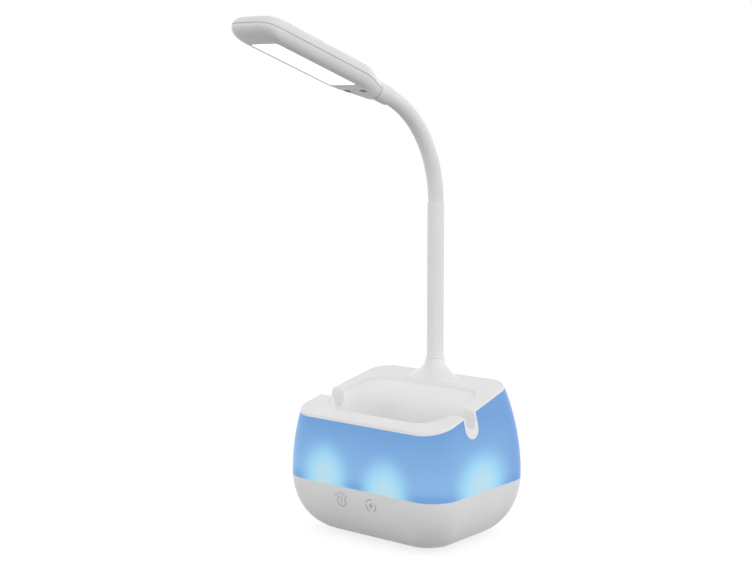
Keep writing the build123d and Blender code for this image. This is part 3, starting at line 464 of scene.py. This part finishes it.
def glow_plastic():
    """The band: opal blue plastic, lit by small lamps that stand behind its lower edge."""
    glow = settings().glow
    widest_height = settings().base.widest_height
    edge_colour = tuple(glow.edge_colour)
    bench = new_finish("glow_plastic")
    axes = bench.axes()
    mottle = bench.noise(22.0)
    above = bench.math("SUBTRACT", axes["Z"], widest_height)
    wander = bench.math("MULTIPLY", bench.math("SUBTRACT", mottle, 0.5), MOTTLE)
    upper = bench.math("ADD", bench.math("DIVIDE", above, widest_height), wander)
    field = bench.ramp(upper, tuple(glow.body_colour), edge_colour, UPPER_START, UPPER_END)
    lower_edge = bench.slope(above, EDGE_START, EDGE_END, EDGE_SHARE)
    field = bench.mix(lower_edge, field, edge_colour)
    rear = bench.slope(axes["Y"], REAR_START, REAR_END, REAR_SHARE)
    field = bench.mix(rear, field, edge_colour)
    light = spot_light(bench, axes)
    spot = bench.slope(light, SPOT_START, SPOT_FULL)
    core = bench.slope(light, CORE_START, CORE_FULL)
    lit = bench.mix(spot, field, tuple(glow.spot_colour))
    lit = bench.mix(core, lit, tuple(glow.core_colour))
    bench.give("Emission Color", lit)
    bench.give("Emission Strength", glow.strength)
    bench.give("Base Color", bench.ramp(mottle, (0.045, 0.075, 0.115), (0.06, 0.095, 0.14)))
    bench.give("Roughness", 0.38)
    bench.give("IOR", 1.46)
    bench.give("Specular IOR Level", 0.25)
    bench.bump(bench.noise(2200.0, 1.0), 0.04, 0.00005)
    return not_a_lamp(bench.owner)


# ---------------------------------------------------------------- mesh helpers
SMOOTH_ANGLE = math.radians(35)
MERGE_DISTANCE = 0.000001


def clear_selection():
    if bpy.context.object and bpy.context.object.mode != "OBJECT":
        bpy.ops.object.mode_set(mode="OBJECT")
    bpy.ops.object.select_all(action="DESELECT")


def take(obj):
    clear_selection()
    obj.select_set(True)
    bpy.context.view_layer.objects.active = obj


def named(name):
    obj = bpy.context.object
    obj.name = name
    obj.data.name = name
    return obj


def settle(obj):
    """Moves the object's place into its mesh, as the CAD nodes have it."""
    take(obj)
    bpy.ops.object.transform_apply(location=True, rotation=True, scale=True)
    return obj


def add_modifier(obj, kind, **values):
    take(obj)
    modifier = obj.modifiers.new(kind.lower(), kind)
    for key, value in values.items():
        setattr(modifier, key, value)
    bpy.ops.object.modifier_apply(modifier=modifier.name)


def outwards(obj):
    """Merges doubled points and turns all faces outwards."""
    take(obj)
    bpy.ops.object.mode_set(mode="EDIT")
    bpy.ops.mesh.select_all(action="SELECT")
    bpy.ops.mesh.remove_doubles(threshold=MERGE_DISTANCE)
    bpy.ops.mesh.normals_make_consistent(inside=False)
    bpy.ops.object.mode_set(mode="OBJECT")


def pick_edges(obj, wanted):
    """Opens edit mode with only those edges selected whose ends are both wanted."""
    take(obj)
    bpy.ops.object.mode_set(mode="EDIT")
    bpy.ops.mesh.select_mode(type="VERT")
    bpy.ops.mesh.select_all(action="DESELECT")
    bpy.ops.object.mode_set(mode="OBJECT")
    for vertex in obj.data.vertices:
        vertex.select = wanted(vertex.co)
    bpy.ops.object.mode_set(mode="EDIT")
    bpy.ops.mesh.select_mode(type="EDGE")


def smooth(obj):
    take(obj)
    bpy.ops.object.shade_smooth_by_angle(angle=SMOOTH_ANGLE)


def dress(obj, material):
    obj.data.materials.clear()
    obj.data.materials.append(material)


def dress_node(name, material):
    node = frame["nodes"][name]
    for slot in node.material_slots:
        slot.material = material
    if not node.material_slots:
        node.data.materials.append(material)


# ---------------------------------------------------------------- the neck's arc
def neck_turn():
    """The whole turn of the neck at rest, in radians: a hinge stands at the middle of each step."""
    first = Vector(HINGES[0]["pos_m"])
    last = Vector(HINGES[-1]["pos_m"])
    chord = (last - first).length
    between = 2 * math.asin(chord / (2 * settings().neck.radius))
    return between * len(HINGES) / (len(HINGES) - 1)


def arc_centre():
    return POST_TOP - Vector((0, settings().neck.radius, 0))


def arc_point(turn):
    radius = settings().neck.radius
    return arc_centre() + Vector((0, radius * math.cos(turn), radius * math.sin(turn)))


def neck_tube(name, start, end, diameter, rings):
    """A piece of round tube bent along the neck's arc, made by spinning one ring."""
    clear_selection()
    bpy.ops.mesh.primitive_circle_add(vertices=settings().neck.sides, radius=diameter / 2,
                                      fill_type="NOTHING", location=arc_point(start),
                                      rotation=(start, 0, 0))
    tube = settle(named(name))
    bpy.ops.object.mode_set(mode="EDIT")
    bpy.ops.mesh.select_all(action="SELECT")
    bpy.ops.mesh.spin(steps=rings, angle=start - end, center=arc_centre(), axis=(1, 0, 0))
    bpy.ops.object.mode_set(mode="OBJECT")
    top = max(vertex.co.z for vertex in tube.data.vertices)
    if top < arc_point((start + end) / 2).z:
        raise RuntimeError(f"{name} was spun the wrong way")
    outwards(tube)
    return tube


def neck_pieces(name, diameter, rings):
    """Makes a piece of tube over each hinge, and gives it with its hinge and its two turns."""
    step = neck_turn() / len(HINGES)
    for index, hinge in enumerate(HINGES):
        start, end = index * step, (index + 1) * step
        piece = neck_tube(f"{name}_{index + 1:02d}", start, end, diameter, rings)
        yield piece, hinge, start, end


# ---------------------------------------------------------------- operators
# Painted light: where the faint white glow on the cup's inner wall reaches, begins and is full.
CUP_MARGIN = 0.0004         # how far the glow reaches into the cup's wall
CUP_PAINTED_GLOW_TOP = 0.0002       # depth under the deck at which the glow begins
CUP_PAINTED_GLOW_FULL = 0.004       # and at which it is full


class LAMP_OT_housing(bpy.types.Operator):
    """Finish the white tub, the deck and the post"""
    bl_idname = "lamp.housing"
    bl_label = "Housing"

    def execute(self, context):
        white = tuple(settings().base.housing_colour)
        # The deck's material also carries the painted light in the cup.
        deck = moulded_plastic("white_deck_painted_glow", white)
        self.paint_light_in_cup(deck)
        dress_node("lower_housing", moulded_plastic("white_housing", white))
        dress_node("top_deck", not_a_lamp(deck))
        dress_node("lower_post", moulded_plastic("white_post", shade(white, 0.97), 0.38))
        dress_node("base_pad", foam_pad("eva_pad", (0.035, 0.035, 0.037)))
        return {"FINISHED"}

    def paint_light_in_cup(self, material):
        """Paints light into the cup: a faint white glow on its inner wall, fuller deeper under the
        deck.
        """
        base = settings().base
        bench = NodeBench(material)
        x, y, z = bench.axes()
        across = bench.math("ABSOLUTE", x)
        along = bench.math("ABSOLUTE", bench.math("SUBTRACT", y, base.cup_middle))
        rise = bench.math("MULTIPLY", y, base.deck_slope)
        below = bench.math("SUBTRACT", bench.math("ADD", base.deck_height, rise), z)
        inside = bench.math("MULTIPLY",
                            bench.math("LESS_THAN", across, base.cup_width / 2 + CUP_MARGIN),
                            bench.math("LESS_THAN", along, base.cup_depth / 2 + CUP_MARGIN))
        # Painted light: the white glow in the cup fades in from just under the deck.
        shine = bench.slope(below, CUP_PAINTED_GLOW_TOP, CUP_PAINTED_GLOW_FULL, base.cup_painted_glow)
        bench.give("Emission Strength", bench.math("MULTIPLY", inside, shine))
        bench.give("Emission Color", tuple(base.cup_painted_colour))


class LAMP_OT_glow_band(bpy.types.Operator):
    """Finish the band that glows blue"""
    bl_idname = "lamp.glow_band"
    bl_label = "Glow band"

    def execute(self, context):
        dress_node("glow_band", glow_plastic())
        return {"FINISHED"}


MARK_LINE = 0.00050         # width of a printed stroke
MARK_PROUD = 0.00006        # how far a stroke's middle stands out from the wall
MARK_START = -0.050         # where the strokes are laid out, in front of the wall
MARK_STEP = 8               # degrees between the points of a round stroke
LIGHT_MARK_PLACE = (-0.0118, 0.0249)
COLOUR_MARK_PLACE = (0.0106, 0.0260)
RAYS = (38, 66, 90, 114, 142)       # directions of the light mark's rays, in degrees


def mark_place(centre, radius, degrees):
    """A point round a mark's centre, given by its distance and its direction."""
    turn = math.radians(degrees)
    return centre[0] + radius * math.cos(turn), centre[1] + radius * math.sin(turn)


def straight_stroke(start, end):
    """One straight stroke with round ends, flat in front of the wall."""
    middle = ((start[0] + end[0]) / 2, MARK_START, (start[1] + end[1]) / 2)
    run = Vector((end[0] - start[0], 0, end[1] - start[1]))
    clear_selection()
    bpy.ops.mesh.primitive_plane_add(size=1.0, location=middle)
    stroke = bpy.context.object
    stroke.scale = (run.length + MARK_LINE, MARK_LINE, 1)
    across = Vector((0, 1, 0)).cross(run).normalized()
    turned = Matrix((run.normalized(), across, (0, -1, 0))).transposed()
    stroke.rotation_euler = turned.to_euler()
    settle(stroke)
    bpy.ops.object.mode_set(mode="EDIT")
    bpy.ops.mesh.select_all(action="SELECT")
    bpy.ops.mesh.bevel(offset=MARK_LINE * 0.45, segments=3, affect="VERTICES")
    bpy.ops.object.mode_set(mode="OBJECT")
    return stroke


def round_stroke(centre, radius, start, end):
    """One stroke along an arc round a centre, from one direction to another in degrees."""
    x, z = mark_place(centre, radius, start)
    turn = math.radians(start)
    clear_selection()
    bpy.ops.mesh.primitive_plane_add(size=MARK_LINE, location=(x, MARK_START, z),
                                     rotation=(math.pi / 2, -turn, 0))
    stroke = settle(bpy.context.object)
    ahead = Vector((-math.sin(turn), 0, math.cos(turn)))
    pick_edges(stroke, lambda point: (point - Vector((x, MARK_START, z))).dot(ahead) > 0)
    bpy.ops.mesh.spin(steps=(end - start) // MARK_STEP, angle=math.radians(start - end),
                      center=(centre[0], MARK_START, centre[1]), axis=(0, -1, 0))
    bpy.ops.object.mode_set(mode="OBJECT")
    return stroke


def light_mark(centre):
    """A ring that is open at its top, a stem through the gap and short rays over it."""
    radius = settings().base.light_mark
    strokes = [round_stroke(centre, radius, 126, 406)]
    strokes.append(straight_stroke(mark_place(centre, radius * 0.35, -90),
                                   mark_place(centre, radius * 1.05, 90)))
    for degrees in RAYS:
        strokes.append(straight_stroke(mark_place(centre, radius * 1.46, degrees),
                                       mark_place(centre, radius * 1.80, degrees)))
    return strokes


def colour_mark(centre):
    """Three arcs of a ring round a small zigzag."""
    radius = settings().base.colour_mark
    strokes = [round_stroke(centre, radius, start, start + 72) for start in (-56, 78, 174)]
    turns = [mark_place(centre, radius * reach, degrees)
             for reach, degrees in ((0.48, 70), (0.34, 190), (0.34, 10), (0.48, 250))]
    for start, end in zip(turns, turns[1:]):
        strokes.append(straight_stroke(start, end))
    return strokes


class LAMP_OT_touch_marks(bpy.types.Operator):
    """Print the two touch marks on the tub's front"""
    bl_idname = "lamp.touch_marks"
    bl_label = "Touch marks"

    def execute(self, context):
        print_ink = self.ink()
        for name, strokes in (("light_mark", light_mark(LIGHT_MARK_PLACE)),
                              ("colour_mark", colour_mark(COLOUR_MARK_PLACE))):
            clear_selection()
            for stroke in strokes:
                stroke.select_set(True)
            bpy.context.view_layer.objects.active = strokes[0]
            bpy.ops.object.join()
            mark = named(name)
            self.lay_on_wall(mark)
            dress(mark, print_ink)
            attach(mark, "base")
        return {"FINISHED"}

    def ink(self):
        colour = tuple(settings().base.mark_colour)
        bench = new_finish("mark_print")
        bench.give("Base Color",
                   bench.ramp(bench.noise(900.0), shade(colour, 0.9), shade(colour, 1.1)))
        bench.give("Roughness", 0.5)
        return bench.owner

    def lay_on_wall(self, mark):
        """Presses the flat strokes onto the tub's front and gives them their thickness."""
        add_modifier(mark, "SHRINKWRAP", target=frame["nodes"]["lower_housing"],
                     wrap_method="PROJECT", wrap_mode="ABOVE_SURFACE", use_project_y=True,
                     use_positive_direction=True, use_negative_direction=False,
                     offset=MARK_PROUD)
        outwards(mark)
        add_modifier(mark, "SOLIDIFY", thickness=MARK_PROUD * 0.8, offset=0.0)
        outwards(mark)


class LAMP_OT_neck_sleeve(bpy.types.Operator):
    """Make the silicone sleeve of the neck, a piece over each bending point"""
    bl_idname = "lamp.neck_sleeve"
    bl_label = "Neck sleeve"

    def execute(self, context):
        neck = settings().neck
        silicone = soft_silicone("neck_silicone", tuple(neck.colour))
        for piece, hinge, start, end in neck_pieces("sleeve", neck.sleeve, neck.rings):
            if hinge is HINGES[-1]:
                self.reach_under_boot(piece, end)
            add_modifier(piece, "SOLIDIFY", thickness=neck.sleeve_wall, offset=-1.0)
            smooth(piece)
            dress(piece, silicone)
            tuple(arc_point(start))
            tuple(arc_point(end))
            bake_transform(piece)
            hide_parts("gooseneck_sleeve")
        return {"FINISHED"}

    def reach_under_boot(self, piece, turn):
        """Runs the last piece straight on, under the boot at the head."""
        along = Vector((0, -math.sin(turn), math.cos(turn)))
        end = arc_point(turn)
        pick_edges(piece, lambda point: abs((point - end).dot(along)) < 10 * MERGE_DISTANCE)
        reach = along * settings().neck.under_boot
        bpy.ops.mesh.extrude_region_move(TRANSFORM_OT_translate={"value": reach})
        outwards(piece)


CABLE_WALL = 0.3            # share of the cable's diameter that each wall of its jacket takes
CABLE_EDGE = 0.12           # share of it that its lower end is rounded by


class LAMP_OT_neck_cable(bpy.types.Operator):
    """Make the cable that runs up the post and through the neck"""
    bl_idname = "lamp.neck_cable"
    bl_label = "Neck cable"

    def execute(self, context):
        neck = settings().neck
        jacket = soft_silicone("cable_jacket", (0.03, 0.03, 0.032))
        lower = self.cable_in_post()
        dress(lower, jacket)
        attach(lower, "base")
        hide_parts("neck_cable")
        for piece, hinge, start, end in neck_pieces("cable", neck.cable, neck.rings // 2):
            add_modifier(piece, "SOLIDIFY", thickness=neck.cable * CABLE_WALL, offset=-1.0)
            smooth(piece)
            dress(piece, jacket)
            tuple(arc_point(start))
            tuple(arc_point(end))
            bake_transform(piece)
            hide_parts("neck_cable")
        return {"FINISHED"}

    def cable_in_post(self):
        neck = settings().neck
        cable_low, cable_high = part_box("neck_cable")
        middle = (cable_low[0] + cable_high[0]) / 2
        height = POST_HIGH[2] - cable_low[2]
        clear_selection()
        place = (middle, POST_TOP.y, cable_low[2] + height / 2)
        bpy.ops.mesh.primitive_cylinder_add(vertices=neck.sides // 2, radius=neck.cable / 2,
                                            depth=height, location=place)
        lower = settle(named("cable_in_post"))
        add_modifier(lower, "BEVEL", width=neck.cable * CABLE_EDGE, segments=2,
                     limit_method="ANGLE")
        smooth(lower)
        return lower


class LAMP_OT_head(bpy.types.Operator):
    """Finish the light head, its diffuser and the boot that joins it to the neck"""
    bl_idname = "lamp.head"
    bl_label = "Head"

    def execute(self, context):
        head = settings().head
        # Painted shade: a darker copy of the housing's white plastic, for the head's shell.
        white = moulded_plastic("head_shaded_white", tuple(head.white), 0.36)
        for name in ("head_frame", "head_cover"):
            dress_node(name, white)
        dress_node("head_diffuser",
                   lit_surface("lit_diffuser", tuple(head.lit_colour), head.light_strength))
        dress_node("neck_boot", soft_silicone("boot_silicone", tuple(settings().neck.colour)))
        return {"FINISHED"}


class LAMP_OT_inner_parts(bpy.types.Operator):
    """Finish the boards, the cell, the ballast, the neck's core and the fasteners"""
    bl_idname = "lamp.inner_parts"
    bl_label = "Inner parts"

    def execute(self, context):
        steel = bare_metal("zinc_steel", (0.60, 0.60, 0.58))
        plate = bare_metal("plate_steel", (0.42, 0.42, 0.44), 0.42, (60.0, 900.0, 900.0))
        core = bare_metal("core_steel", (0.52, 0.52, 0.53), 0.34, (60.0, 1400.0, 1400.0))
        dark = bare_metal("blackened_steel", (0.05, 0.05, 0.052), 0.4)
        brass = bare_metal("spring_brass", (0.72, 0.52, 0.22), 0.25)
        green = circuit_board("board_green", (0.012, 0.10, 0.04), (0.03, 0.22, 0.08))
        white = circuit_board("board_white", (0.78, 0.78, 0.75), (0.66, 0.66, 0.62))
        for name in ("housing_screws", "board_screws", "neck_washer", "neck_nut"):
            dress_node(name, steel)
        for name in ("ballast_plate", "charging_socket"):
            dress_node(name, plate)
        for name in ("main_board", "glow_led_board", "touch_board"):
            dress_node(name, green)
        for name in frame["nodes"]:
            if name.startswith("neck_link_") or name.endswith("_ferrule"):
                dress_node(name, core)
        dress_node("head_screws", dark)
        dress_node("touch_springs", brass)
        dress_node("head_led_board", white)
        dress_node("battery_cell", moulded_plastic("cell_sleeve", (0.03, 0.10, 0.30), 0.28))
        dress_node("glow_leds", lit_surface("glow_led", (0.72, 0.88, 1.0), 2.0, 400.0))
        dress_node("head_leds", lit_surface("white_led", (1.0, 0.97, 0.90), 2.0, 400.0))
        return {"FINISHED"}


FLOOR_DROP = 0.0004         # keeps the floor just under the foot pad
DIM_BELOW = -0.15           # height in the room under which it is as dim as it gets
LAMPS_AIM = Vector((0, 0, 0.12))
SENSOR_WIDTH = 36.0         # millimetres
CLIP_START = 0.01


class LAMP_OT_stage(bpy.types.Operator):
    """Lay the pale floor, set the soft lamps and the camera"""
    bl_idname = "lamp.stage"
    bl_label = "Stage"

    def execute(self, context):
        stage = settings().stage
        self.floor(stage)
        self.room(stage)
        self.lamp("key_lamp", stage.key_place, stage.key_size, stage.key_power)
        self.lamp("side_lamp", stage.side_place, stage.side_size, stage.side_power)
        self.camera(stage)
        context.scene.view_settings.view_transform = "Standard"
        return {"FINISHED"}

    def floor(self, stage):
        clear_selection()
        bpy.ops.mesh.primitive_plane_add(size=2 * stage.floor_size, location=(0, 0, -FLOOR_DROP))
        floor = settle(named("stage_floor"))
        bench = new_finish("floor_paint")
        colour = tuple(stage.floor_colour)
        bench.give("Base Color", bench.ramp(bench.noise(3.0), shade(colour, 0.995), colour))
        bench.give("Roughness", 0.8)
        bench.give("Specular IOR Level", 0.0)
        rays = bench.add("ShaderNodeLightPath").outputs
        seen = bench.math("MAXIMUM", rays["Is Camera Ray"], rays["Is Glossy Ray"])
        seen = bench.math("MAXIMUM", seen, rays["Is Transmission Ray"])
        bench.give("Emission Color", (1.0, 1.0, 1.0))
        bench.give("Emission Strength", bench.math("MULTIPLY", seen, stage.floor_lift))
        dress(floor, not_a_lamp(bench.owner))

    def room(self, stage):
        """Soft light from all round, brightest at the horizon, with plain white behind the lamp."""
        world = bpy.data.worlds.new("soft_room")
        bpy.context.scene.world = world
        bench = NodeBench(world, "Background")
        height = bench.axes("Generated")["Z"]
        sky = bench.spread(height, 0.0, 1.0, stage.horizon, stage.zenith)
        under = bench.spread(height, DIM_BELOW, 0.0, stage.below, 1.0)
        light = bench.math("MULTIPLY", sky, under)
        rays = bench.add("ShaderNodeLightPath").outputs
        bench.give("Color", (1.0, 1.0, 1.0))
        bench.give("Strength", bench.mix(rays["Is Camera Ray"], light, 1.0, "FLOAT"))

    def lamp(self, name, place, size, power):
        lamp = bpy.data.lights.new(name, "AREA")
        lamp.size = size
        lamp.energy = power
        holder = self.put(name, lamp, Vector(place), LAMPS_AIM - Vector(place))
        holder.visible_camera = False

    def camera(self, stage):
        camera = bpy.data.cameras.new("photo_camera")
        camera.lens = stage.focal
        camera.sensor_width = SENSOR_WIDTH
        camera.clip_start = CLIP_START
        holder = self.put("photo_camera", camera, Vector(stage.eye), Vector(stage.aim))
        bpy.context.scene.camera = holder

    def put(self, name, data, place, direction):
        """Stands a lamp or the camera at its place, facing along a direction."""
        holder = bpy.data.objects.new(name, data)
        bpy.context.scene.collection.objects.link(holder)
        holder.location = place
        holder.rotation_euler = direction.to_track_quat("-Z", "Y").to_euler()
        return holder


OPERATORS = (LAMP_OT_stage, LAMP_OT_housing, LAMP_OT_glow_band, LAMP_OT_touch_marks,
             LAMP_OT_neck_sleeve, LAMP_OT_neck_cable, LAMP_OT_head, LAMP_OT_inner_parts)
GROUPS = (LampBaseSettings, LampGlowSettings, LampNeckSettings, LampHeadSettings,
          LampStageSettings, LampSettings)


class LAMP_PT_panel(bpy.types.Panel):
    """Lists the lamp's pieces and their sizes"""
    bl_idname = "LAMP_PT_panel"
    bl_label = "Organizer lamp"
    bl_space_type = "VIEW_3D"
    bl_region_type = "UI"
    bl_category = "Lamp"

    def draw(self, context):
        layout = self.layout
        for operator in OPERATORS:
            layout.operator(operator.bl_idname)
        for group_name in ("base", "glow", "neck", "head", "stage"):
            group = getattr(context.scene.lamp_settings, group_name)
            box = layout.box()
            box.label(text=group_name.capitalize())
            for key in group.__annotations__:
                box.prop(group, key)


def register():
    for group in GROUPS:
        bpy.utils.register_class(group)
    for operator in OPERATORS:
        bpy.utils.register_class(operator)
    bpy.utils.register_class(LAMP_PT_panel)
    bpy.types.Scene.lamp_settings = PointerProperty(type=LampSettings)


def unregister():
    del bpy.types.Scene.lamp_settings
    bpy.utils.unregister_class(LAMP_PT_panel)
    for operator in reversed(OPERATORS):
        bpy.utils.unregister_class(operator)
    for group in reversed(GROUPS):
        bpy.utils.unregister_class(group)


def main():
    register()
    for operator in OPERATORS:
        group, name = operator.bl_idname.split(".")
        getattr(getattr(bpy.ops, group), name)()


if __name__ == "__main__":
    main()
